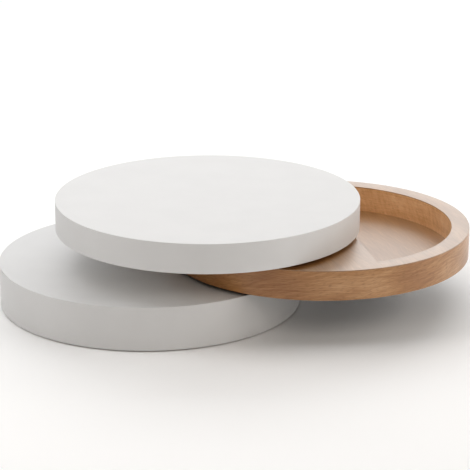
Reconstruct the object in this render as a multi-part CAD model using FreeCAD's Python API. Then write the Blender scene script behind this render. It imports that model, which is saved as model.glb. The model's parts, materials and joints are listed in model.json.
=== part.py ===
"""Swivel coffee table: three round drums, stacked, that fan out on two hidden ring bearings.

Millimetres, +Z up. The origin is on the floor under the middle of the base, and +X points to the
side that the tray is swung out to. The table is modelled half opened.
"""
import FreeCAD
import Part
import math
import os

# Drums
disc_diameter = 800.0
base_height = 115.0
tray_height = 78.0
top_height = 78.0
band_thickness = 8.0
edge_round = 2.0
glide_height = 3.0
glide_diameter = 28.0
glide_chamfer = 1.0
glide_inset = 40.0
glide_count = 8

# Panels and ribs
base_top_thickness = 18.0
base_bottom_thickness = 18.0
tray_floor_thickness = 9.0
tray_deck_thickness = 16.0
top_panel_thickness = 12.0
top_bottom_thickness = 12.0
rib_thickness = 16.0
rib_ring_gap = 12.0
tray_cross_inset = 77.0
lap_clearance = 0.1

# Open compartment of the tray
rim_width = 47.0
straight_wall_offset = 61.0
lining_thickness = 6.0
lining_edge_round = 1.5
partition_thickness = 16.0
rim_block_length = 60.0
rim_block_count = 5

# Swivels: the pivots lie off the drums' centres. The tray is closed at 180 degrees, the top at 0
lower_pivot_inset = 172.5
upper_pivot_inset = 250.6
base_turn_degrees = -6.7
tray_swing_degrees = 19.3
top_swing_degrees = 175.0

# Ring bearings, which fill the gap between two drums
bearing_height = 10.0
ring_lift = 1.0
ring_pitch_radius = 110.0
ring_width = 19.0
ring_split = 2.0
ball_diameter = 6.0
ball_count = 24
groove_clearance = 0.3
cage_thickness = 1.0
cage_height = 7.6
pocket_clearance = 0.15
ring_screw_count = 8

# Screws
machine_shank = 5.0
machine_head = 9.5
machine_head_height = 3.5
machine_tip_cover = 2.0
wood_shank = 4.2
wood_head = 8.4
wood_tip_cover = 4.0
wood_bite = 20.0
screw_clearance = 0.1
rib_screw_count = 4

# Sizes that follow from the ones above
disc_radius = disc_diameter / 2
panel_radius = disc_radius - band_thickness
wall_radius = disc_radius - rim_width
lining_radius = wall_radius + lining_thickness
facing_back = straight_wall_offset - lining_thickness
partition_back = facing_back - partition_thickness
ring_height = bearing_height - ring_lift
fixed_ring_outer = ring_pitch_radius - ring_split / 2
fixed_ring_inner = fixed_ring_outer - ring_width
turning_ring_inner = ring_pitch_radius + ring_split / 2
turning_ring_outer = turning_ring_inner + ring_width
rib_offset = turning_ring_outer + rib_ring_gap + rib_thickness / 2
lower_pivot_offset = disc_radius - lower_pivot_inset
upper_pivot_offset = disc_radius - upper_pivot_inset
tray_cross_x = tray_cross_inset - panel_radius
base_bottom = glide_height
base_top = base_bottom + base_height
tray_bottom = base_top + bearing_height
tray_top = tray_bottom + tray_height
top_bottom = tray_top + bearing_height
UP = FreeCAD.Vector(0, 0, 1)
TOLERANCE = 1e-6


def disc(radius, low, high):
    """Upright cylinder on the Z axis between two heights."""
    return Part.makeCylinder(radius, high - low, FreeCAD.Vector(0, 0, low))


def ring(outer, inner, low, high):
    """Upright ring on the Z axis between two heights."""
    return disc(outer, low, high).cut(disc(inner, low, high))


def block(x_range, y_range, z_range):
    """Upright box from its two limits along each axis."""
    low, high = zip(x_range, y_range, z_range)
    sides = [b - a for a, b in zip(low, high)]
    return Part.makeBox(*sides, FreeCAD.Vector(*low))


def moved(shape, x, y, z=0.0):
    """Copy of a shape, shifted."""
    copy = shape.copy()
    copy.translate(FreeCAD.Vector(x, y, z))
    return copy


def turned(shape, degrees):
    """Copy of a shape, turned about the Z axis."""
    copy = shape.copy()
    copy.rotate(FreeCAD.Vector(0, 0, 0), UP, degrees)
    return copy


def spread(start, end, count):
    """Even places between two ends, half a step clear of each end."""
    step = (end - start) / count
    return [start + (i + 0.5) * step for i in range(count)]


def on_circle(radius, count, x=0.0, first=0.0):
    """Points spaced evenly round a circle about (x, 0)."""
    angles = [math.radians(first + 360.0 * i / count) for i in range(count)]
    return [(x + radius * math.cos(a), radius * math.sin(a)) for a in angles]


def copies(shape, points):
    """One copy of a shape at each point, as a group of separate solids."""
    return Part.makeCompound([moved(shape, *point) for point in points])


def half_chord(radius, offset):
    """Half the width of a circle at an offset from its centre."""
    return math.sqrt(radius ** 2 - offset ** 2)


def round_edges(shape, radius, heights):
    """Round edges of a shape that have one radius and lie at one of the heights."""
    edges = []
    for edge in shape.Edges:
        if not isinstance(edge.Curve, Part.Circle):
            continue
        at_height = any(abs(edge.Curve.Center.z - height) < TOLERANCE for height in heights)
        if at_height and abs(edge.Curve.Radius - radius) < TOLERANCE:
            edges.append(edge)
    return edges


def wood_screw(length, clearance=0.0):
    """Countersunk screw that points up from z = 0, or the hole for it when given a clearance."""
    shank = wood_shank / 2 + clearance
    head = wood_head / 2 + clearance
    cone = Part.makeCone(head, shank, head - shank)
    return cone.fuse(disc(shank, 0, length + clearance)).removeSplitter()


def machine_screw(length, clearance=0.0):
    """Pan-headed screw that points up from z = 0, or the hole for it when given a clearance."""
    shank = disc(machine_shank / 2 + clearance, 0, length + clearance)
    head = disc(machine_head / 2 + clearance, -machine_head_height, 0)
    return shank.fuse(head).removeSplitter()


def side_band(height):
    """Bent side of a drum, with its two outer edges rounded."""
    band = ring(disc_radius, panel_radius, 0, height)
    return band.makeFillet(edge_round, round_edges(band, disc_radius, (0, height)))


def ribs(prefix, low, high, cross_x, x_limit=disc_radius):
    """Two long ribs and one across them, half-lapped, trimmed to the drum and to x_limit."""
    middle = (low + high) / 2
    half = rib_thickness / 2
    slot = half + lap_clearance
    inside = disc(panel_radius, low, high)
    made = {}
    cross = block((cross_x - half, cross_x + half), (-disc_radius, disc_radius), (low, high))
    for side, y in (("left", rib_offset), ("right", -rib_offset)):
        long_rib = block((-disc_radius, x_limit), (y - half, y + half), (low, high))
        lap = block((cross_x - slot, cross_x + slot), (y - half, y + half), (middle, high))
        made[f"{prefix}_rib_{side}"] = long_rib.cut(lap).common(inside)
        cross = cross.cut(block((cross_x - half, cross_x + half), (y - slot, y + slot), (low, middle)))
    made[f"{prefix}_rib_cross"] = cross.common(inside)
    return made


def groove(radius):
    """Ball groove round the pitch circle of a bearing."""
    return Part.makeTorus(ring_pitch_radius, radius, FreeCAD.Vector(0, 0, bearing_height / 2))


def ring_screw_points(inner, outer, x=0.0):
    """Screw places round the middle of a bearing ring whose axis is at (x, 0)."""
    return on_circle((inner + outer) / 2, ring_screw_count, x)


def bearing(prefix, lower_panel, upper_panel):
    """Ring bearing on the Z axis, from z = 0 on the lower panel to the upper panel's underside."""
    race = groove(ball_diameter / 2 + groove_clearance)
    fixed_points = ring_screw_points(fixed_ring_inner, fixed_ring_outer)
    turning_points = ring_screw_points(turning_ring_inner, turning_ring_outer)

    fixed_length = lower_panel + ring_height - machine_tip_cover
    fixed_hole = moved(machine_screw(fixed_length, screw_clearance), 0, 0, -lower_panel)
    fixed_ring = ring(fixed_ring_outer, fixed_ring_inner, 0, ring_height)
    fixed_ring = fixed_ring.cut(race).cut(copies(fixed_hole, fixed_points))
    fixed_screw = moved(machine_screw(fixed_length), 0, 0, -lower_panel)

    turning_length = ring_height + upper_panel - wood_tip_cover
    turning_hole = moved(wood_screw(turning_length, screw_clearance), 0, 0, ring_lift)
    turning_ring = ring(turning_ring_outer, turning_ring_inner, ring_lift, bearing_height)
    turning_ring = turning_ring.cut(race).cut(copies(turning_hole, turning_points))
    turning_screw = moved(wood_screw(turning_length), 0, 0, ring_lift)

    middle = bearing_height / 2
    ball_points = on_circle(ring_pitch_radius, ball_count)
    ball = Part.makeSphere(ball_diameter / 2, FreeCAD.Vector(0, 0, middle))
    cage_outer = ring_pitch_radius + cage_thickness / 2
    cage = ring(cage_outer, cage_outer - cage_thickness, middle - cage_height / 2, middle + cage_height / 2)
    pocket_start = FreeCAD.Vector(cage_outer - 2 * cage_thickness, 0, middle)
    pocket_radius = ball_diameter / 2 + pocket_clearance
    pocket = Part.makeCylinder(pocket_radius, 3 * cage_thickness, pocket_start, FreeCAD.Vector(1, 0, 0))
    pockets = Part.makeCompound([turned(pocket, 360.0 * i / ball_count) for i in range(ball_count)])
    return {
        f"{prefix}_ring_fixed": fixed_ring,
        f"{prefix}_ring_fixed_screws": copies(fixed_screw, fixed_points),
        f"{prefix}_ball_cage": cage.cut(pockets),
        f"{prefix}_balls": copies(ball, ball_points),
        f"{prefix}_ring_turning": turning_ring,
        f"{prefix}_ring_turning_screws": copies(turning_screw, turning_points),
    }


def fixed_ring_holes(thickness, high, pivot_x):
    """Holes for a fixed ring's machine screws through the panel that carries it."""
    hole = moved(machine_screw(thickness, screw_clearance), 0, 0, high - thickness)
    return copies(hole, ring_screw_points(fixed_ring_inner, fixed_ring_outer, pivot_x))


def turning_ring_holes(thickness, pivot_x):
    """Holes for a turning ring's wood screws, up into the panel that it carries."""
    hole = disc(wood_shank / 2 + screw_clearance, 0, thickness - wood_tip_cover + screw_clearance)
    return copies(hole, ring_screw_points(turning_ring_inner, turning_ring_outer, pivot_x))


def base_parts():
    """Pieces of the base, about its own centre, with z = 0 at its underside and the pivot on +X."""
    floor = disc(panel_radius, 0, base_bottom_thickness)
    lid_low = base_height - base_top_thickness
    lid = disc(panel_radius, lid_low, base_height)
    lid = lid.cut(fixed_ring_holes(base_top_thickness, base_height, lower_pivot_offset))
    cross_x = lower_pivot_offset - rib_offset
    frame = ribs("base", base_bottom_thickness, lid_low, cross_x)

    rib_end = half_chord(panel_radius, rib_offset)
    cross_end = half_chord(panel_radius, cross_x)
    points = [(x, y) for x in spread(-rib_end, rib_end, rib_screw_count) for y in (rib_offset, -rib_offset)]
    points += [(cross_x, y) for y in spread(-cross_end, cross_end, rib_screw_count)]
    length = base_bottom_thickness + wood_bite
    holes = copies(wood_screw(length, screw_clearance), points)

    glide = disc(glide_diameter / 2, -glide_height, 0)
    glide = glide.makeChamfer(glide_chamfer, round_edges(glide, glide_diameter / 2, (-glide_height,)))
    glide_points = on_circle(disc_radius - glide_inset, glide_count, first=180.0 / glide_count)
    parts = {node: rib.cut(holes) for node, rib in frame.items()}
    parts["base_bottom_panel"] = floor.cut(holes)
    parts["base_top_panel"] = lid
    parts["base_side_band"] = side_band(base_height)
    parts["base_bottom_screws"] = copies(wood_screw(length), points)
    parts["base_glides"] = copies(glide, [(0, 0)] + glide_points)
    return parts


def rim_blocks(low, high):
    """Blocks in the hollow rim of the tray, spread round its open side, and their screw places."""
    reach = math.degrees(math.acos(straight_wall_offset / wall_radius))
    hollow = ring(panel_radius, lining_radius, low, high)
    half = rim_block_length / 2
    blank = block((0, disc_radius), (-half, half), (low, high)).common(hollow)
    angles = spread(-reach, reach, rim_block_count)
    middle = (panel_radius + lining_radius) / 2
    points = [(middle * math.cos(math.radians(a)), middle * math.sin(math.radians(a))) for a in angles]
    return Part.makeCompound([turned(blank, a) for a in angles]), points


def tray_parts():
    """Pieces of the tray, about its own centre, with z = 0 at its underside and the opening on +X."""
    low = tray_floor_thickness
    deck_low = tray_height - tray_deck_thickness
    open_side = block((facing_back, disc_radius), (-disc_radius, disc_radius), (0, tray_height))
    opening = disc(lining_radius, deck_low, tray_height).common(open_side)
    deck = disc(panel_radius, deck_low, tray_height).cut(opening)
    deck = deck.cut(fixed_ring_holes(tray_deck_thickness, tray_height, -upper_pivot_offset))

    room = block((straight_wall_offset, disc_radius), (-disc_radius, disc_radius), (low, tray_height))
    lining = ring(lining_radius, wall_radius, low, tray_height).common(room)
    lining = lining.makeFillet(lining_edge_round, round_edges(lining, wall_radius, (tray_height,)))
    facing_range = (facing_back, straight_wall_offset)
    facing = block(facing_range, (-disc_radius, disc_radius), (low, tray_height))
    facing = facing.common(disc(lining_radius, low, tray_height))
    partition_range = (partition_back, facing_back)
    partition = block(partition_range, (-disc_radius, disc_radius), (low, deck_low))
    partition = partition.common(disc(panel_radius, low, deck_low))

    frame = ribs("tray", low, deck_low, tray_cross_x, partition_back)
    blocks, points = rim_blocks(low, deck_low)
    rib_end = -half_chord(panel_radius, rib_offset)
    rib_places = spread(rib_end, partition_back, rib_screw_count)
    points += [(x, y) for x in rib_places for y in (rib_offset, -rib_offset)]
    partition_end = half_chord(panel_radius, partition_back)
    partition_middle = (partition_back + facing_back) / 2
    points += [(partition_middle, y) for y in spread(-partition_end, partition_end, rib_screw_count)]
    length = tray_floor_thickness + wood_bite
    holes = copies(wood_screw(length, screw_clearance), points)

    floor = disc(panel_radius, 0, tray_floor_thickness).cut(holes)
    parts = {node: rib.cut(holes) for node, rib in frame.items()}
    parts["tray_floor_panel"] = floor.cut(turning_ring_holes(tray_floor_thickness, -lower_pivot_offset))
    parts["tray_floor_screws"] = copies(wood_screw(length), points)
    parts["tray_outer_band"] = side_band(tray_height)
    parts["tray_deck"] = deck
    parts["tray_inner_lining"] = lining
    parts["tray_partition_facing"] = facing
    parts["tray_partition"] = partition.cut(holes)
    parts["tray_rim_blocks"] = blocks.cut(holes)
    return parts


def top_parts():
    """Pieces of the top, about its own centre, with z = 0 at its underside and the pivot on -X."""
    lid_low = top_height - top_panel_thickness
    floor = disc(panel_radius, 0, top_bottom_thickness)
    parts = ribs("top", top_bottom_thickness, lid_low, rib_offset - upper_pivot_offset)
    parts["top_bottom_panel"] = floor.cut(turning_ring_holes(top_bottom_thickness, -upper_pivot_offset))
    parts["top_side_band"] = side_band(top_height)
    parts["top_panel"] = disc(panel_radius, lid_low, top_height)
    return parts


def swung(parts, turn, x, y, z):
    """Pieces turned about their own Z axis and then set in place."""
    return {node: moved(turned(shape, turn), x, y, z) for node, shape in parts.items()}


def offset_from(x, y, distance, degrees):
    """Point at a distance and a direction from another point."""
    angle = math.radians(degrees)
    return x + distance * math.cos(angle), y + distance * math.sin(angle)


def assembly():
    """Every piece of the table in its place, half opened."""
    base_turn = base_turn_degrees
    tray_turn = base_turn + tray_swing_degrees
    top_turn = tray_turn + top_swing_degrees
    lower_pivot = offset_from(0, 0, lower_pivot_offset, base_turn)
    tray_centre = offset_from(*lower_pivot, lower_pivot_offset, tray_turn)
    upper_pivot = offset_from(*tray_centre, -upper_pivot_offset, tray_turn)
    top_centre = offset_from(*upper_pivot, upper_pivot_offset, top_turn)
    print("lower pivot", lower_pivot, "tray centre", tray_centre)
    print("upper pivot", upper_pivot, "top centre", top_centre)

    parts = swung(base_parts(), base_turn, 0, 0, base_bottom)
    parts.update(swung(tray_parts(), tray_turn, *tray_centre, tray_bottom))
    parts.update(swung(top_parts(), top_turn, *top_centre, top_bottom))
    lower = bearing("lower", base_top_thickness, tray_floor_thickness)
    upper = bearing("upper", tray_deck_thickness, top_bottom_thickness)
    for made, place, turns in ((lower, (*lower_pivot, base_top), (base_turn, tray_turn)),
                               (upper, (*upper_pivot, tray_top), (tray_turn, top_turn))):
        for node, shape in made.items():
            turn = turns[1] if "turning" in node else turns[0]
            parts.update(swung({node: shape}, turn, *place))
    return parts


os.makedirs("parts", exist_ok=True)
for name, piece in assembly().items():
    piece.exportStep(f"parts/{name}.step")
    print(name, len(piece.Solids), "solids", round(piece.Volume), "mm3", piece.isValid())
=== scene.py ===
"""Dresses the swivel coffee table: two lacquered drums, a veneered tray and the bearings between them.

Metres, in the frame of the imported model. Each sub-assembly is a class that models its shells and
dresses the nodes that stay as they are. Sizes that the frame holds are read from it.
"""
import json
import logging
import math
from contextlib import contextmanager
from dataclasses import dataclass, replace
from enum import Enum
from typing import Callable, Iterable, Iterator

import bmesh
import bpy
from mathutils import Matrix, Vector

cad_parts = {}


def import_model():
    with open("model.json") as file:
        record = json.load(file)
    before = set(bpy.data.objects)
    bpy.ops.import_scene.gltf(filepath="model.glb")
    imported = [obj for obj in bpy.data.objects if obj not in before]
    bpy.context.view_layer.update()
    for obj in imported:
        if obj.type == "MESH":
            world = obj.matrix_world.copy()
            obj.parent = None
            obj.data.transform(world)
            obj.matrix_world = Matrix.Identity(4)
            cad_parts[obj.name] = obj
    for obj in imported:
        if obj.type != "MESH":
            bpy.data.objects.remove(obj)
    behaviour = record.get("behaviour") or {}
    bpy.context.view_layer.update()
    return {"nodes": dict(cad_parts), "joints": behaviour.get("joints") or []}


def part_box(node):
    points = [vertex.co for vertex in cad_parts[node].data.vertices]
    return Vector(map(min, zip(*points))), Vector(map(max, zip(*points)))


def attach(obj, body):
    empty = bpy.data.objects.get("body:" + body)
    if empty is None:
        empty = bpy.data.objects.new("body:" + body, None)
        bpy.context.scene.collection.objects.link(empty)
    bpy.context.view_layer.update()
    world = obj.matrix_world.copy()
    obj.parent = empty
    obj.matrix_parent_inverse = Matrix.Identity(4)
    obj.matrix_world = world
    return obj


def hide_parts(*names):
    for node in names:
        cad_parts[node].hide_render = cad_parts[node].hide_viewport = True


LOG = logging.getLogger("swivel_table")
MM = 0.001
ROUND_SEGMENTS = 256
SMOOTH_ANGLE = math.radians(35)
PICK_REACH = 0.1 * MM
LEVEL_COSINE = 0.999
COMBINED_CURVE = 3
GRAIN_MAP = "grain"


class Grain(Enum):
    """Where a veneer's grain direction comes from."""

    BOARD = "object"
    BAND = "uv"


class Element(Enum):
    """Kind of mesh element that edit mode selects."""

    VERT = "VERT"
    EDGE = "EDGE"
    FACE = "FACE"


def linear(code: str) -> tuple[float, float, float, float]:
    """Turns an sRGB hex code into a linear colour.

    Args:
        code: Six hex digits after a hash sign.

    Returns:
        Linear red, green and blue, and an alpha of one.
    """
    values = [int(code[i:i + 2], 16) / 255 for i in (1, 3, 5)]
    red, green, blue = (v / 12.92 if v <= 0.04045 else ((v + 0.055) / 1.055) ** 2.4 for v in values)
    return red, green, blue, 1.0


def add_node(tree: bpy.types.NodeTree, kind: str, inputs: dict | None = None,
             **settings: object) -> bpy.types.Node:
    """Adds a shader node with its settings and links.

    Inputs that share a name go by number. On a mix node 0 is the factor, 2 and 3 are the values, and
    6 and 7 the colours.

    Args:
        tree: Node tree that gets the node.
        kind: Blender's name of the node.
        inputs: Values, or sockets to link, by input name or number.
        **settings: Attributes of the node.

    Returns:
        The new node.
    """
    node = tree.nodes.new(kind)
    for name, value in settings.items():
        setattr(node, name, value)
    for key, value in (inputs or {}).items():
        if isinstance(value, bpy.types.NodeSocket):
            tree.links.new(value, node.inputs[key])
        else:
            node.inputs[key].default_value = value
    return node


def set_ramp(node: bpy.types.Node, stops: Iterable[tuple[float, str]]) -> None:
    """Fills a colour ramp with sRGB stops.

    Args:
        node: Colour ramp node.
        stops: Position and hex code of each stop, from left to right.
    """
    stops = list(stops)
    elements = node.color_ramp.elements
    while len(elements) < len(stops):
        elements.new(1.0)
    for element, (position, code) in zip(elements, stops):
        element.position = position
        element.color = linear(code)


def new_material(name: str) -> tuple[bpy.types.Material, bpy.types.NodeTree, bpy.types.Node]:
    """Makes a material with an empty principled shader.

    Args:
        name: Name of the material.

    Returns:
        The material, its node tree and its shader node.
    """
    material = bpy.data.materials.new(name)
    material.use_nodes = True
    tree = material.node_tree
    return material, tree, tree.nodes["Principled BSDF"]


@dataclass(frozen=True)
class WhiteLacquer:
    """Matt white lacquer, sprayed on board: an even pale coat with a faint orange peel."""

    name: str = "matt_white_lacquer_sprayed"
    colour: str = "#DCDCDC"
    shade: str = "#DADADA"
    roughness: float = 0.55
    roughness_swing: float = 0.03
    specular: float = 0.4
    cloud_mm: float = 90.0
    cloud_range: tuple[float, float] = (0.35, 0.65)
    peel_mm: float = 2.5
    peel_depth_mm: float = 0.02
    peel_strength: float = 0.6

    def build(self) -> bpy.types.Material:
        """Makes the material.

        Returns:
            The material.
        """
        material, tree, shader = new_material(self.name)
        place = add_node(tree, "ShaderNodeTexCoord").outputs["Object"]
        # Slow clouds in the coat, from one pass of the spray gun to the next
        cloud = add_node(tree, "ShaderNodeTexNoise", {
            "Vector": place, "Scale": 1 / (self.cloud_mm * MM)})
        tone = add_node(tree, "ShaderNodeValToRGB", {"Fac": cloud.outputs["Fac"]})
        set_ramp(tone, zip(self.cloud_range, (self.shade, self.colour)))
        tree.links.new(tone.outputs["Color"], shader.inputs["Base Color"])
        peel = add_node(tree, "ShaderNodeTexNoise", {"Vector": place, "Scale": 1 / (self.peel_mm * MM)})
        gloss = add_node(tree, "ShaderNodeMapRange", {
            "Value": cloud.outputs["Fac"], "To Min": self.roughness - self.roughness_swing,
            "To Max": self.roughness + self.roughness_swing})
        tree.links.new(gloss.outputs["Result"], shader.inputs["Roughness"])
        shader.inputs["Specular IOR Level"].default_value = self.specular
        bump = add_node(tree, "ShaderNodeBump", {
            "Height": peel.outputs["Fac"], "Distance": self.peel_depth_mm * MM,
            "Strength": self.peel_strength})
        tree.links.new(bump.outputs["Normal"], shader.inputs["Normal"])
        return material


@dataclass(frozen=True)
class OakVeneer:
    """Oak veneer under clear lacquer: wavy streaks, fine pores, and a pale gloss at low angles."""

    name: str
    grain: Grain
    dark: str
    middle: str
    light: str
    turn: float = 0.0
    # Below this height the board takes the next colour, near-black, as painted shade for the gap under
    # the tray
    gap_shade_below: float | None = None
    pore: str = "#7A5228"
    gap_shade_foil: str = "#2B2826"
    roughness: float = 0.4
    roughness_swing: float = 0.05
    specular: float = 0.7
    coat: float = 1.0
    coat_roughness: float = 0.3
    coat_ior: float = 1.7
    veil: float = 0.0
    veil_roughness: float = 0.3
    leaf_mm: float = 190.0
    slip_mm: float = 1000.0
    sway_mm: tuple[float, float, float] = (190.0, 90.0, 16.0)
    figure_mm: tuple[float, float] = (190.0, 42.0)
    flame_mm: tuple[float, float] = (80.0, 8.0)
    flame_slant: float = math.radians(14)
    flame_share: float = 0.45
    streak_mm: tuple[float, float] = (130.0, 4.5)
    fibre_mm: tuple[float, float] = (45.0, 2.2)
    fibre_share: float = 0.4
    line_share: float = 0.42
    tone_stops: tuple[float, float, float] = (0.38, 0.5, 0.62)
    gloss_range: tuple[float, float] = (0.3, 0.7)
    pore_mm: tuple[float, float] = (16.0, 1.3)
    pore_slant: float = math.radians(10)
    pore_range: tuple[float, float] = (0.6, 0.72)
    pore_share: float = 0.22
    pore_depth_mm: float = 0.1
    pore_strength: float = 0.3

    def grain_plane(self, tree: bpy.types.NodeTree) -> bpy.types.NodeSocket:
        """Gives coordinates in metres with X along the grain.

        Args:
            tree: Node tree of the material.

        Returns:
            The socket with the coordinates.
        """
        if self.grain is Grain.BAND:
            return add_node(tree, "ShaderNodeUVMap", uv_map=GRAIN_MAP).outputs["UV"]
        place = add_node(tree, "ShaderNodeTexCoord").outputs["Object"]
        turned = add_node(tree, "ShaderNodeMapping", {
            "Vector": place, "Rotation": (0.0, 0.0, -self.turn)})
        return turned.outputs["Vector"]

    def stretched_noise(self, tree: bpy.types.NodeTree, plane: bpy.types.NodeSocket,
                        size_mm: tuple[float, float], detail: float,
                        slant: float = 0.0) -> bpy.types.NodeSocket:
        """Adds noise drawn out along the grain.

        Args:
            tree: Node tree of the material.
            plane: Coordinates in metres with X along the grain.
            size_mm: Length and width of a streak.
            detail: Octaves of the noise.
            slant: Angle between the streaks and the grain, in radians.

        Returns:
            The noise from 0 to 1.
        """
        size = (size_mm[0] * MM, size_mm[1] * MM, 1.0)
        stretched = add_node(tree, "ShaderNodeMapping", {
            "Vector": plane, "Rotation": (0.0, 0.0, slant), "Scale": size}, vector_type="TEXTURE")
        noise = add_node(tree, "ShaderNodeTexNoise", {
            "Vector": stretched.outputs["Vector"], "Scale": 1.0, "Detail": detail})
        return noise.outputs["Fac"]

    def swaying_plane(self, tree: bpy.types.NodeTree) -> bpy.types.NodeSocket:
        """Cuts the grain plane into leaves and lets the grain sway across each of them.

        Args:
            tree: Node tree of the material.

        Returns:
            The socket with the coordinates.
        """
        plane = self.grain_plane(tree)
        axes = add_node(tree, "ShaderNodeSeparateXYZ", {"Vector": plane})
        leaf = add_node(tree, "ShaderNodeMath", {
            0: axes.outputs["Y"], 1: 1 / (self.leaf_mm * MM)}, operation="MULTIPLY")
        number = add_node(tree, "ShaderNodeMath", {0: leaf.outputs[0]}, operation="FLOOR")
        chance = add_node(tree, "ShaderNodeTexWhiteNoise", {
            "W": number.outputs[0]}, noise_dimensions="1D")
        slip = add_node(tree, "ShaderNodeMath", {
            0: chance.outputs["Value"], 1: self.slip_mm * MM, 2: axes.outputs["X"]},
            operation="MULTIPLY_ADD")
        along, across, width = self.sway_mm
        sway = add_node(tree, "ShaderNodeMapRange", {
            "Value": self.stretched_noise(tree, plane, (along, across), detail=1.0),
            "To Min": -width * MM, "To Max": width * MM})
        swayed = add_node(tree, "ShaderNodeMath", {
            0: axes.outputs["Y"], 1: sway.outputs["Result"]}, operation="ADD")
        leaf_plane = add_node(tree, "ShaderNodeCombineXYZ", {
            "X": slip.outputs[0], "Y": swayed.outputs[0], "Z": number.outputs[0]})
        return leaf_plane.outputs["Vector"]

    def build(self) -> bpy.types.Material:
        """Makes the material.

        Returns:
            The material.
        """
        material, tree, shader = new_material(self.name)
        plane = self.swaying_plane(tree)
        figure = self.stretched_noise(tree, plane, self.figure_mm, detail=1.0)
        flame = self.stretched_noise(tree, plane, self.flame_mm, detail=2.0, slant=self.flame_slant)
        streak = self.stretched_noise(tree, plane, self.streak_mm, detail=2.0)
        fibre = self.stretched_noise(tree, plane, self.fibre_mm, detail=1.0)
        pores = self.stretched_noise(tree, plane, self.pore_mm, detail=0.0, slant=self.pore_slant)
        # Early and late wood: a slanting flame on a broad figure, crossed by streaks and fine fibres
        broad = add_node(tree, "ShaderNodeMix", {
            0: self.flame_share, 2: figure, 3: flame}, data_type="FLOAT")
        lines = add_node(tree, "ShaderNodeMix", {
            0: self.fibre_share, 2: streak, 3: fibre}, data_type="FLOAT")
        both = add_node(tree, "ShaderNodeMix", {
            0: self.line_share, 2: broad.outputs[0], 3: lines.outputs[0]}, data_type="FLOAT")
        tone = add_node(tree, "ShaderNodeValToRGB", {"Fac": both.outputs[0]})
        set_ramp(tone, zip(self.tone_stops, (self.dark, self.middle, self.light)))
        # Open pores are drawn several times as coarse as real ones, to show in the picture
        dash = add_node(tree, "ShaderNodeMapRange", {
            "Value": pores, "From Min": self.pore_range[0], "From Max": self.pore_range[1]})
        faint = add_node(tree, "ShaderNodeMath", {
            0: dash.outputs["Result"], 1: self.pore_share}, operation="MULTIPLY")
        wood = add_node(tree, "ShaderNodeMix", {
            0: faint.outputs[0], 6: tone.outputs["Color"], 7: linear(self.pore)},
            data_type="RGBA").outputs[2]
        rough = add_node(tree, "ShaderNodeMapRange", {
            "Value": both.outputs[0], "From Min": self.gloss_range[0], "From Max": self.gloss_range[1],
            "To Min": self.roughness + self.roughness_swing,
            "To Max": self.roughness - self.roughness_swing})
        tree.links.new(rough.outputs["Result"], shader.inputs["Roughness"])
        shader.inputs["Coat Roughness"].default_value = self.coat_roughness
        shader.inputs["Coat IOR"].default_value = self.coat_ior
        shader.inputs["Specular IOR Level"].default_value = self.specular
        # Open pores scatter light at low angles, which lays a pale veil over the level faces
        shader.inputs["Sheen Weight"].default_value = self.veil
        shader.inputs["Sheen Roughness"].default_value = self.veil_roughness
        if self.gap_shade_below is None:
            tree.links.new(wood, shader.inputs["Base Color"])
            shader.inputs["Coat Weight"].default_value = self.coat
        else:
            # The underside of the board is painted near-black without lacquer, a painted shade that
            # darkens the gap between the tray and the base
            place = add_node(tree, "ShaderNodeTexCoord").outputs["Object"]
            height = add_node(tree, "ShaderNodeSeparateXYZ", {"Vector": place}).outputs["Z"]
            veneered = add_node(tree, "ShaderNodeMath", {
                0: height, 1: self.gap_shade_below}, operation="GREATER_THAN")
            faces = add_node(tree, "ShaderNodeMix", {
                0: veneered.outputs[0], 6: linear(self.gap_shade_foil), 7: wood}, data_type="RGBA")
            tree.links.new(faces.outputs[2], shader.inputs["Base Color"])
            tree.links.new(veneered.outputs[0], shader.inputs["Coat Weight"])
        bump = add_node(tree, "ShaderNodeBump", {
            "Height": dash.outputs["Result"], "Distance": self.pore_depth_mm * MM,
            "Strength": self.pore_strength}, invert=True)
        tree.links.new(bump.outputs["Normal"], shader.inputs["Normal"])
        return material


@dataclass(frozen=True)
class SpeckledSolid:
    """One-tone material with a fine speckle, for what is hidden between and under the drums."""

    name: str
    colour: str
    fleck: str
    fleck_mm: float
    roughness: float
    metallic: float = 0.0
    fleck_range: tuple[float, float] = (0.4, 0.6)
    fleck_detail: float = 3.0
    bump_mm: float = 0.02
    bump_strength: float = 0.5

    def build(self) -> bpy.types.Material:
        """Makes the material.

        Returns:
            The material.
        """
        material, tree, shader = new_material(self.name)
        place = add_node(tree, "ShaderNodeTexCoord").outputs["Object"]
        fleck = add_node(tree, "ShaderNodeTexNoise", {
            "Vector": place, "Scale": 1 / (self.fleck_mm * MM), "Detail": self.fleck_detail})
        tone = add_node(tree, "ShaderNodeValToRGB", {"Fac": fleck.outputs["Fac"]})
        set_ramp(tone, zip(self.fleck_range, (self.fleck, self.colour)))
        tree.links.new(tone.outputs["Color"], shader.inputs["Base Color"])
        shader.inputs["Roughness"].default_value = self.roughness
        shader.inputs["Metallic"].default_value = self.metallic
        if self.bump_mm > 0:
            bump = add_node(tree, "ShaderNodeBump", {
                "Height": fleck.outputs["Fac"], "Distance": self.bump_mm * MM,
                "Strength": self.bump_strength})
            tree.links.new(bump.outputs["Normal"], shader.inputs["Normal"])
        return material


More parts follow.
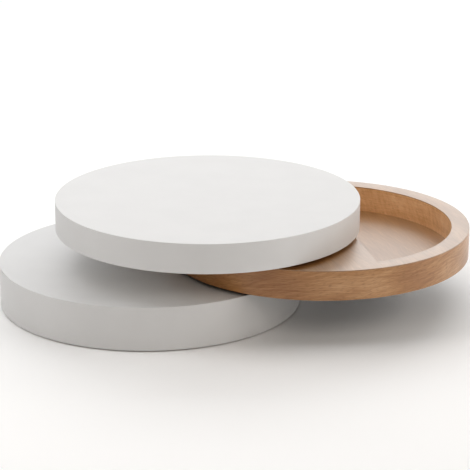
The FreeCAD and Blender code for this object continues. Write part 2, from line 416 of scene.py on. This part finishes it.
class Finishes:
    """Every finish of the table, made once."""

    def __init__(self, tray_turn: float, floor_middle: float) -> None:
        """Makes the materials.

        Args:
            tray_turn: Direction of the tray's open side about Z, in radians.
            floor_middle: Height of the middle of the tray's floor board.
        """
        along_wall = tray_turn + math.pi / 2
        self.lacquer = WhiteLacquer().build()
        # Dark, middle and light tone of the one oak veneer, by where it is: the face is painted darker
        # than the side as painted shade, and the lining paler as painted light
        face = ("#855D32", "#946A3B", "#A37948")
        outside = ("#95653C", "#AE8053", "#C3986E")
        inside = ("#D2A67B", "#E4BA91", "#EFCBA5")
        # Level faces: brown wood under a full coat, which turns pale where it is seen at a low angle;
        # its tones are painted darker than the side's, a painted shade that deepens the shade beside
        # the top drum
        level = OakVeneer("oak_veneer_face_painted_shade", Grain.BOARD, *face, turn=along_wall,
                          coat_roughness=0.4, coat_ior=2.0, veil=0.2)
        self.oak_face = level.build()
        # The floor board takes the darker face tones and, underneath, near-black painted shade for the
        # gap under the tray
        self.oak_floor = replace(
            level, name="oak_veneer_floor_painted_shade", gap_shade_below=floor_middle, veil=0.7).build()
        # Bent side: one long sheet under a thin coat, even in tone, with slanting pores
        side = OakVeneer("oak_veneer_band_lacquered", Grain.BAND, *outside, coat=0.4, leaf_mm=400.0,
                         slip_mm=1900.0, figure_mm=(230.0, 110.0), flame_share=0.35, line_share=0.36,
                         pore_mm=(14.0, 1.8), pore_share=0.4)
        self.oak_band = side.build()
        # Lining of the opening: painted about twice as pale as the side, painted light that makes up
        # for the shade inside the opening, and warmer, with short upright flames
        lining = OakVeneer("oak_veneer_lining_painted_light", Grain.BAND, *inside, coat=0.4, leaf_mm=400.0,
                           slip_mm=1900.0, flame_mm=(36.0, 11.0), flame_slant=math.radians(64),
                           line_share=0.3)
        self.oak_wall = lining.build()
        # White melamine foil: a clean bright white, which lights up the gap under the top
        self.melamine = SpeckledSolid("melamine_foil_white_laminated", "#F6F6F5", "#F2F2F1",
                                      fleck_mm=0.8, roughness=0.5).build()
        # Raw fibreboard: pressed brown fibres, dull, with paler and darker flecks
        self.board = SpeckledSolid("fibreboard_raw_pressed", "#A8865E", "#8E6E4A",
                                   fleck_mm=1.2, roughness=0.85).build()
        # Turned aluminium: pale grey metal, softly bright
        self.aluminium = SpeckledSolid("aluminium_turned", "#C9CACC", "#BFC0C3",
                                       fleck_mm=0.8, roughness=0.35, metallic=1.0).build()
        # Zinc-plated steel: bluish grey metal with a worn sparkle
        self.zinc = SpeckledSolid("steel_zinc_plated", "#B4B6B8", "#9C9FA3",
                                  fleck_mm=0.5, roughness=0.4, metallic=1.0).build()
        # Polished bearing steel: bright and smooth
        self.steel = SpeckledSolid("bearing_steel_polished", "#C4C5C7", "#BDBEC0",
                                   fleck_mm=0.6, roughness=0.12, metallic=1.0, bump_mm=0.0).build()
        # Natural nylon: milky cream, slightly waxy
        self.nylon = SpeckledSolid("nylon_moulded_natural", "#E6E2D3", "#DEDAC9",
                                   fleck_mm=1.5, roughness=0.45).build()
        # Moulded black plastic: charcoal with a fine spark-eroded texture
        self.plastic = SpeckledSolid("polypropylene_moulded_black", "#2B2B2D", "#222224",
                                     fleck_mm=0.7, roughness=0.6).build()


def start_modelling() -> None:
    """Leaves edit mode and deselects every object."""
    if bpy.context.mode != "OBJECT":
        bpy.ops.object.mode_set(mode="OBJECT")
    bpy.ops.object.select_all(action="DESELECT")


@contextmanager
def editing(piece: bpy.types.Object, kind: Element) -> Iterator[bmesh.types.BMesh]:
    """Edit mode on one piece, with nothing selected in it at the start.

    Args:
        piece: Object to edit.
        kind: Kind of element that is selected.

    Yields:
        The edit mesh, for picking by place or normal.
    """
    bpy.context.view_layer.objects.active = piece
    bpy.ops.object.mode_set(mode="EDIT")
    bpy.ops.mesh.select_mode(type=kind.value)
    bpy.ops.mesh.select_all(action="DESELECT")
    yield bmesh.from_edit_mesh(piece.data)
    bpy.ops.object.mode_set(mode="OBJECT")


def pick(mesh: bpy.types.Mesh, elements: Iterable, test: Callable[..., bool]) -> None:
    """Selects only the elements that pass a test.

    Args:
        mesh: Mesh in edit mode.
        elements: Its vertices, edges or faces.
        test: Says whether one of them is wanted.
    """
    bpy.ops.mesh.select_all(action="DESELECT")
    for element in elements:
        if test(element):
            element.select_set(True)
    bmesh.update_edit_mesh(mesh)


def apply_modifier(piece: bpy.types.Object, kind: str, **settings: object) -> None:
    """Adds a modifier to a piece and applies it.

    Args:
        piece: Object that gets the modifier.
        kind: Blender's name of the modifier.
        **settings: Attributes of the modifier.
    """
    bpy.context.view_layer.objects.active = piece
    bpy.ops.object.modifier_add(type=kind)
    modifier = piece.modifiers[-1]
    for name, value in settings.items():
        setattr(modifier, name, value)
    bpy.ops.object.modifier_apply(modifier=modifier.name)


def settle(piece: bpy.types.Object, name: str) -> None:
    """Names a piece, moves its place into its mesh, turns its faces outwards and smooths its rounds.

    Args:
        piece: Finished object.
        name: Name of the piece.
    """
    start_modelling()
    piece.name = name
    piece.select_set(True)
    bpy.context.view_layer.objects.active = piece
    bpy.ops.object.transform_apply(location=True, rotation=True, scale=True)
    with editing(piece, Element.FACE):
        bpy.ops.mesh.select_all(action="SELECT")
        bpy.ops.mesh.normals_make_consistent(inside=False)
    bpy.ops.object.shade_smooth_by_angle(angle=SMOOTH_ANGLE)


def dress(piece: bpy.types.Object, material: bpy.types.Material) -> None:
    """Gives an object one material in place of any that it has."""
    piece.data.materials.clear()
    piece.data.materials.append(material)


@dataclass
class RoundBox:
    """Place and size of a round drum, read from the node of its side band."""

    node: str

    def __post_init__(self) -> None:
        """Reads the node's box."""
        low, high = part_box(self.node)
        self.centre: Vector = (low + high) / 2
        self.low: float = low.z
        self.high: float = high.z
        self.radius: float = min(high.x - low.x, high.y - low.y) / 2


@dataclass
class LacqueredDrum:
    """Seamless white drum over its panels, open below for the panel that closes it."""

    prefix: str
    lid_node: str
    band: float = 8 * MM
    edge_round: float = 1.2 * MM
    edge_steps: int = 5
    face_margin: float = 5 * MM

    def shell(self, finishes: Finishes) -> bpy.types.Object:
        """Models the drum's top and side as one lacquered shell.

        Args:
            finishes: Finishes of the table.

        Returns:
            The shell.
        """
        side = RoundBox(f"{self.prefix}_side_band")
        lid_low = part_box(self.lid_node)[0].z
        start_modelling()
        height = side.high - side.low
        bpy.ops.mesh.primitive_cylinder_add(
            vertices=ROUND_SEGMENTS, radius=side.radius, depth=height, location=side.centre)
        piece = bpy.context.object
        with editing(piece, Element.EDGE) as mesh:
            pick(piece.data, mesh.edges,
                 lambda edge: abs(edge.verts[0].co.z - edge.verts[1].co.z) < height / 2)
            bpy.ops.mesh.bevel(offset=self.edge_round, segments=self.edge_steps, affect="EDGES")
        with editing(piece, Element.FACE) as mesh:
            pick(piece.data, mesh.faces, lambda face: face.normal.z > LEVEL_COSINE)
            bpy.ops.mesh.inset(thickness=self.face_margin)
        with editing(piece, Element.FACE) as mesh:
            pick(piece.data, mesh.faces, lambda face: face.normal.z < -LEVEL_COSINE)
            bpy.ops.mesh.inset(thickness=self.band - self.edge_round)
            rise = lid_low - side.low
            bpy.ops.mesh.extrude_region_move(TRANSFORM_OT_translate={"value": (0, 0, rise)})
        settle(piece, f"{self.prefix}_shell")
        dress(piece, finishes.lacquer)
        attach(piece, self.prefix)
        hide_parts(self.lid_node, f"{self.prefix}_side_band")
        return piece


@dataclass
class VeneeredTray:
    """Oak tray: a flush face with a D-shaped opening, its bent side and the lining of the opening."""

    centre: Vector
    turn: float
    rim_width: float = 47 * MM
    straight_wall: float = 61 * MM
    sheet: float = 2.0 * MM
    band_wall: float = 8 * MM
    lining_wall: float = 6 * MM
    foot_round: float = 1.2 * MM
    arris: float = 0.6 * MM
    arris_steps: int = 3
    band_steps: int = 4
    wall_steps: int = 48
    straight_cosine: float = 0.99

    def __post_init__(self) -> None:
        """Reads the tray's heights and radius from the frame."""
        side = RoundBox("tray_outer_band")
        self.low: float = side.low
        self.high: float = side.high
        self.radius: float = side.radius
        self.floor_top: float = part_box("tray_floor_panel")[1].z
        self.deck_low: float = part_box("tray_deck")[0].z
        self.open_way: Vector = Vector((math.cos(self.turn), math.sin(self.turn), 0))
        self.wall_way: Vector = Vector((-math.sin(self.turn), math.cos(self.turn), 0))

    def at_height(self, height: float) -> Vector:
        """Gives the point on the tray's axis at a height."""
        return Vector((self.centre.x, self.centre.y, height))

    def outline(self, height: float) -> bpy.types.Object:
        """Draws the opening's outline, an arc closed by a straight line.

        Args:
            height: Height of the outline.

        Returns:
            An object of edges about the tray's axis.
        """
        start_modelling()
        place = self.at_height(height)
        bpy.ops.mesh.primitive_circle_add(
            vertices=ROUND_SEGMENTS, radius=self.radius - self.rim_width, location=place)
        piece = bpy.context.object
        with editing(piece, Element.VERT) as mesh:
            bpy.ops.mesh.select_all(action="SELECT")
            bpy.ops.mesh.bisect(plane_co=place + self.open_way * self.straight_wall,
                                plane_no=self.open_way, clear_inner=True)
            pick(piece.data, mesh.verts, lambda vert: len(vert.link_edges) == 1)
            bpy.ops.mesh.edge_face_add()
            bpy.ops.mesh.subdivide(number_cuts=self.wall_steps)
        return piece

    def face(self, finishes: Finishes) -> bpy.types.Object:
        """Models the veneered face: a sheet over the whole tray on a board that stays inside the walls.

        Args:
            finishes: Finishes of the table.

        Returns:
            The face.
        """
        piece = self.outline(self.high)
        with editing(piece, Element.VERT):
            bpy.ops.mesh.primitive_circle_add(
                vertices=ROUND_SEGMENTS, radius=self.radius, location=self.at_height(self.high))
            bpy.ops.mesh.select_all(action="SELECT")
            bpy.ops.mesh.fill(use_beauty=True)
            bpy.ops.mesh.normals_make_consistent(inside=False)
        apply_modifier(piece, "SOLIDIFY", thickness=self.sheet, offset=-1.0)
        apply_modifier(
            piece, "BEVEL", width=self.arris, segments=self.arris_steps, limit_method="ANGLE")
        with editing(piece, Element.FACE) as mesh:
            pick(piece.data, mesh.faces, lambda face: face.normal.z < -LEVEL_COSINE)
            bpy.ops.mesh.inset(thickness=self.band_wall, use_boundary=True)
            drop = self.deck_low - self.high + self.sheet
            bpy.ops.mesh.extrude_region_move(TRANSFORM_OT_translate={"value": (0, 0, drop)})
        settle(piece, "tray_face")
        return self.finish(piece, finishes.oak_face, "tray_deck")

    def band(self, finishes: Finishes) -> bpy.types.Object:
        """Models the bent side under the face.

        Args:
            finishes: Finishes of the table.

        Returns:
            The band.
        """
        start_modelling()
        top = self.high - self.sheet
        half = (top - self.low) / 2
        bpy.ops.mesh.primitive_cylinder_add(
            vertices=ROUND_SEGMENTS, radius=self.radius, depth=2 * half, end_fill_type="NOTHING",
            location=self.at_height(self.low + half))
        piece = bpy.context.object
        apply_modifier(piece, "SOLIDIFY", thickness=self.band_wall, offset=-1.0, use_rim=True)
        for height, width in ((half, self.arris), (-half, self.foot_round)):
            with editing(piece, Element.EDGE) as mesh:
                pick(piece.data, mesh.edges, lambda edge: all(
                    abs(vert.co.z - height) < PICK_REACH and vert.co.xy.length > self.radius - MM
                    for vert in edge.verts))
                bpy.ops.mesh.bevel(offset=width, segments=self.band_steps, affect="EDGES")
        settle(piece, "tray_band")
        self.lay_grain(piece)
        return self.finish(piece, finishes.oak_band, "tray_outer_band")

    def lining(self, finishes: Finishes) -> bpy.types.Object:
        """Models the wall of the opening, from the floor to the underside of the face.

        Args:
            finishes: Finishes of the table.

        Returns:
            The lining.
        """
        top = self.high - self.sheet
        piece = self.outline(top)
        with editing(piece, Element.EDGE):
            bpy.ops.mesh.select_all(action="SELECT")
            drop = self.floor_top - top
            bpy.ops.mesh.extrude_region_move(TRANSFORM_OT_translate={"value": (0, 0, drop)})
            bpy.ops.mesh.select_all(action="SELECT")
            bpy.ops.mesh.normals_make_consistent(inside=False)
        apply_modifier(piece, "SOLIDIFY", thickness=self.lining_wall, offset=1.0, use_even_offset=True)
        settle(piece, "tray_lining")
        self.lay_grain(piece)
        return self.finish(piece, finishes.oak_wall, "tray_inner_lining", "tray_partition_facing")

    def is_straight(self, polygon: bpy.types.MeshPolygon) -> bool:
        """Says whether a face lies on the straight stretch of the opening's wall.

        Args:
            polygon: Face of a wall of the tray.

        Returns:
            True on the straight stretch, False on a round wall.
        """
        middle = polygon.center - self.centre
        faces_opening = abs(polygon.normal.dot(self.open_way)) > self.straight_cosine
        on_line = middle.dot(self.open_way) < self.straight_wall + MM
        inside_rim = middle.xy.length < self.radius - self.rim_width
        return faces_opening and on_line and inside_rim

    def bearing(self, spot: Vector) -> float:
        """Gives the angle of a spot about the tray's axis, from the way to its open side."""
        return math.atan2(spot.dot(self.wall_way), spot.dot(self.open_way))

    def lay_grain(self, piece: bpy.types.Object) -> None:
        """Unrolls a wall into a map in metres, with the grain along the wall.

        Args:
            piece: Wall of the tray, at its place.
        """
        grain = piece.data.uv_layers.new(name=GRAIN_MAP).data
        for polygon in piece.data.polygons:
            straight = self.is_straight(polygon)
            start = self.bearing(polygon.center - self.centre)
            for index in polygon.loop_indices:
                point = piece.data.vertices[piece.data.loops[index].vertex_index].co
                spot = point - self.centre
                # Corners of a face across the back of the circle stay on the face's own side
                angle = start + math.remainder(self.bearing(spot) - start, math.tau)
                along = spot.dot(self.wall_way) if straight else angle * self.radius
                grain[index].uv = (along, point.z)

    def finish(self, piece: bpy.types.Object, material: bpy.types.Material,
               *nodes: str) -> bpy.types.Object:
        """Dresses a piece of the tray and lets it stand for its nodes.

        Args:
            piece: Object to dress.
            material: Its finish.
            *nodes: Nodes that it stands for.

        Returns:
            The same object.
        """
        dress(piece, material)
        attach(piece, "tray")
        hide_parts(*nodes)
        return piece


@dataclass
class PlainNodes:
    """Nodes that stay as they are packed: boards, bearings, screws and glides."""

    nodes: dict[str, bpy.types.Object]

    def dress(self, finishes: Finishes) -> None:
        """Gives each node its finish.

        Args:
            finishes: Finishes of the table.
        """
        shown = {"tray_floor_panel": finishes.oak_floor, "top_bottom_panel": finishes.melamine}
        for name, node in self.nodes.items():
            dress(node, shown.get(name) or self.by_kind(name, finishes))

    def by_kind(self, name: str, finishes: Finishes) -> bpy.types.Material:
        """Picks the finish of a node by the kind of part in its name.

        Args:
            name: Name of the node.
            finishes: Finishes of the table.

        Returns:
            The finish.
        """
        kinds = {"screws": finishes.zinc, "balls": finishes.steel, "cage": finishes.nylon,
                 "ring": finishes.aluminium, "glides": finishes.plastic}
        return next((finish for kind, finish in kinds.items() if kind in name), finishes.board)


@dataclass(frozen=True)
class PhotoCamera:
    """Camera at the photograph's place, from a fit of the drums' edges, with its pitch in radians."""

    place: tuple[float, float, float] = (0.225947, -5.196295, 1.863889)
    pitch: float = 0.313677
    focal_px: float = 2056.89
    image_px: float = 470.0
    sensor_mm: float = 36.0

    def build(self) -> None:
        """Makes the camera and gives it to the scene."""
        data = bpy.data.cameras.new("photo_camera")
        data.sensor_width = self.sensor_mm
        data.lens = self.focal_px / self.image_px * self.sensor_mm
        camera = bpy.data.objects.new("photo_camera", data)
        camera.location = self.place
        camera.rotation_euler = (math.pi / 2 - self.pitch, 0, 0)
        bpy.context.scene.collection.objects.link(camera)
        bpy.context.scene.camera = camera


@dataclass(frozen=True)
class SoftLight:
    """Broad area light that points at the table."""

    name: str
    place: tuple[float, float, float]
    size: tuple[float, float]
    radiance: float
    colour: str = "#FFFFFF"
    target: tuple[float, float, float] = (0.2, 0.0, 0.2)

    def build(self) -> None:
        """Makes the light."""
        data = bpy.data.lights.new(self.name, "AREA")
        data.shape = "RECTANGLE"
        data.size, data.size_y = self.size
        data.color = linear(self.colour)[:3]
        data.energy = self.radiance * math.pi * self.size[0] * self.size[1]
        light = bpy.data.objects.new(self.name, data)
        light.location = self.place
        aim = Vector(self.target) - Vector(self.place)
        light.rotation_euler = aim.to_track_quat("-Z", "Y").to_euler()
        bpy.context.scene.collection.objects.link(light)


@dataclass(frozen=True)
class Studio:
    """Plain pale floor among broad soft lights, brightest from the right and from high behind."""

    lights: tuple[SoftLight, ...] = (
        SoftLight("light_above", (0.2, 0.6, 4.0), (6.0, 5.0), 0.8),
        SoftLight("light_above_left", (-2.8, -0.4, 3.6), (2.6, 4.0), 1.7),
        SoftLight("light_right", (9.04, 0.0, 3.6), (10.2, 6.1), 2.5, "#FFFAF5"),
        SoftLight("light_front", (0.2, -9.8, 4.82), (11.2, 4.2), 1.1, "#FFF6EC"),
        SoftLight("light_high_front", (0.2, -5.0, 4.6), (6.0, 2.4), 1.3, "#FFF8F0"),
        SoftLight("light_behind", (0.2, 9.3, 3.15), (14.0, 5.6), 1.4),
        SoftLight("light_high_behind", (0.2, 4.6, 4.2), (9.0, 2.6), 2.1),
        SoftLight("light_left", (-9.4, 0.46, 2.53), (7.8, 4.6), 0.95, "#FFF6EC"),
    )
    dome: float = 0.02
    shadow_depth: float = 0.06
    curve_tones: tuple[float, ...] = (0.01, 0.03, 0.06, 0.1, 0.18, 0.3, 0.5, 0.75)
    floor_colour: str = "#FDFDFD"
    floor_roughness: float = 0.7
    floor_size: float = 400.0

    def build(self) -> None:
        """Makes the floor and the light."""
        start_modelling()
        bpy.ops.mesh.primitive_plane_add(size=self.floor_size)
        floor = bpy.context.object
        floor.name = "studio_floor"
        material, _, shader = new_material("studio_floor_matt")
        shader.inputs["Base Color"].default_value = linear(self.floor_colour)
        shader.inputs["Roughness"].default_value = self.floor_roughness
        dress(floor, material)
        for light in self.lights:
            light.build()
        world = bpy.data.worlds.new("studio_dome")
        world.use_nodes = True
        background = world.node_tree.nodes["Background"]
        background.inputs["Color"].default_value = (1.0, 1.0, 1.0, 1.0)
        background.inputs["Strength"].default_value = self.dome
        bpy.context.scene.world = world
        self.deepen_shadows(bpy.context.scene.view_settings)

    def deepen_shadows(self, view: bpy.types.ColorManagedViewSettings) -> None:
        """Bends the view's tone curve down at its dark end, as a print does.

        Args:
            view: View settings of the scene.
        """
        view.view_transform = "Standard"
        view.use_curve_mapping = True
        curve = view.curve_mapping.curves[COMBINED_CURVE]
        for tone in self.curve_tones:
            curve.points.new(tone, (1 + self.shadow_depth) * tone ** 2 / (tone + self.shadow_depth))
        view.curve_mapping.update()


def main() -> None:
    """Builds the sub-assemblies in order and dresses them."""
    logging.basicConfig(level=logging.INFO, format="%(name)s %(message)s")
    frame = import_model()
    joints = {joint["name"]: joint for joint in frame["joints"]}
    side = RoundBox("tray_outer_band")
    swing = side.centre - Vector(joints["tray_swivel"]["pos_m"])
    tray_turn = math.atan2(swing.y, swing.x)
    floor_low, floor_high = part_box("tray_floor_panel")
    finishes = Finishes(tray_turn, (floor_low.z + floor_high.z) / 2)
    tray = VeneeredTray(side.centre, tray_turn)
    PlainNodes(frame["nodes"]).dress(finishes)
    pieces = [
        LacqueredDrum("base", "base_top_panel").shell(finishes),
        tray.face(finishes),
        tray.band(finishes),
        tray.lining(finishes),
        LacqueredDrum("top", "top_panel").shell(finishes),
    ]
    for piece in pieces:
        LOG.info("%s: %d faces", piece.name, len(piece.data.polygons))
    Studio().build()
    PhotoCamera().build()


if __name__ == "__main__":
    main()
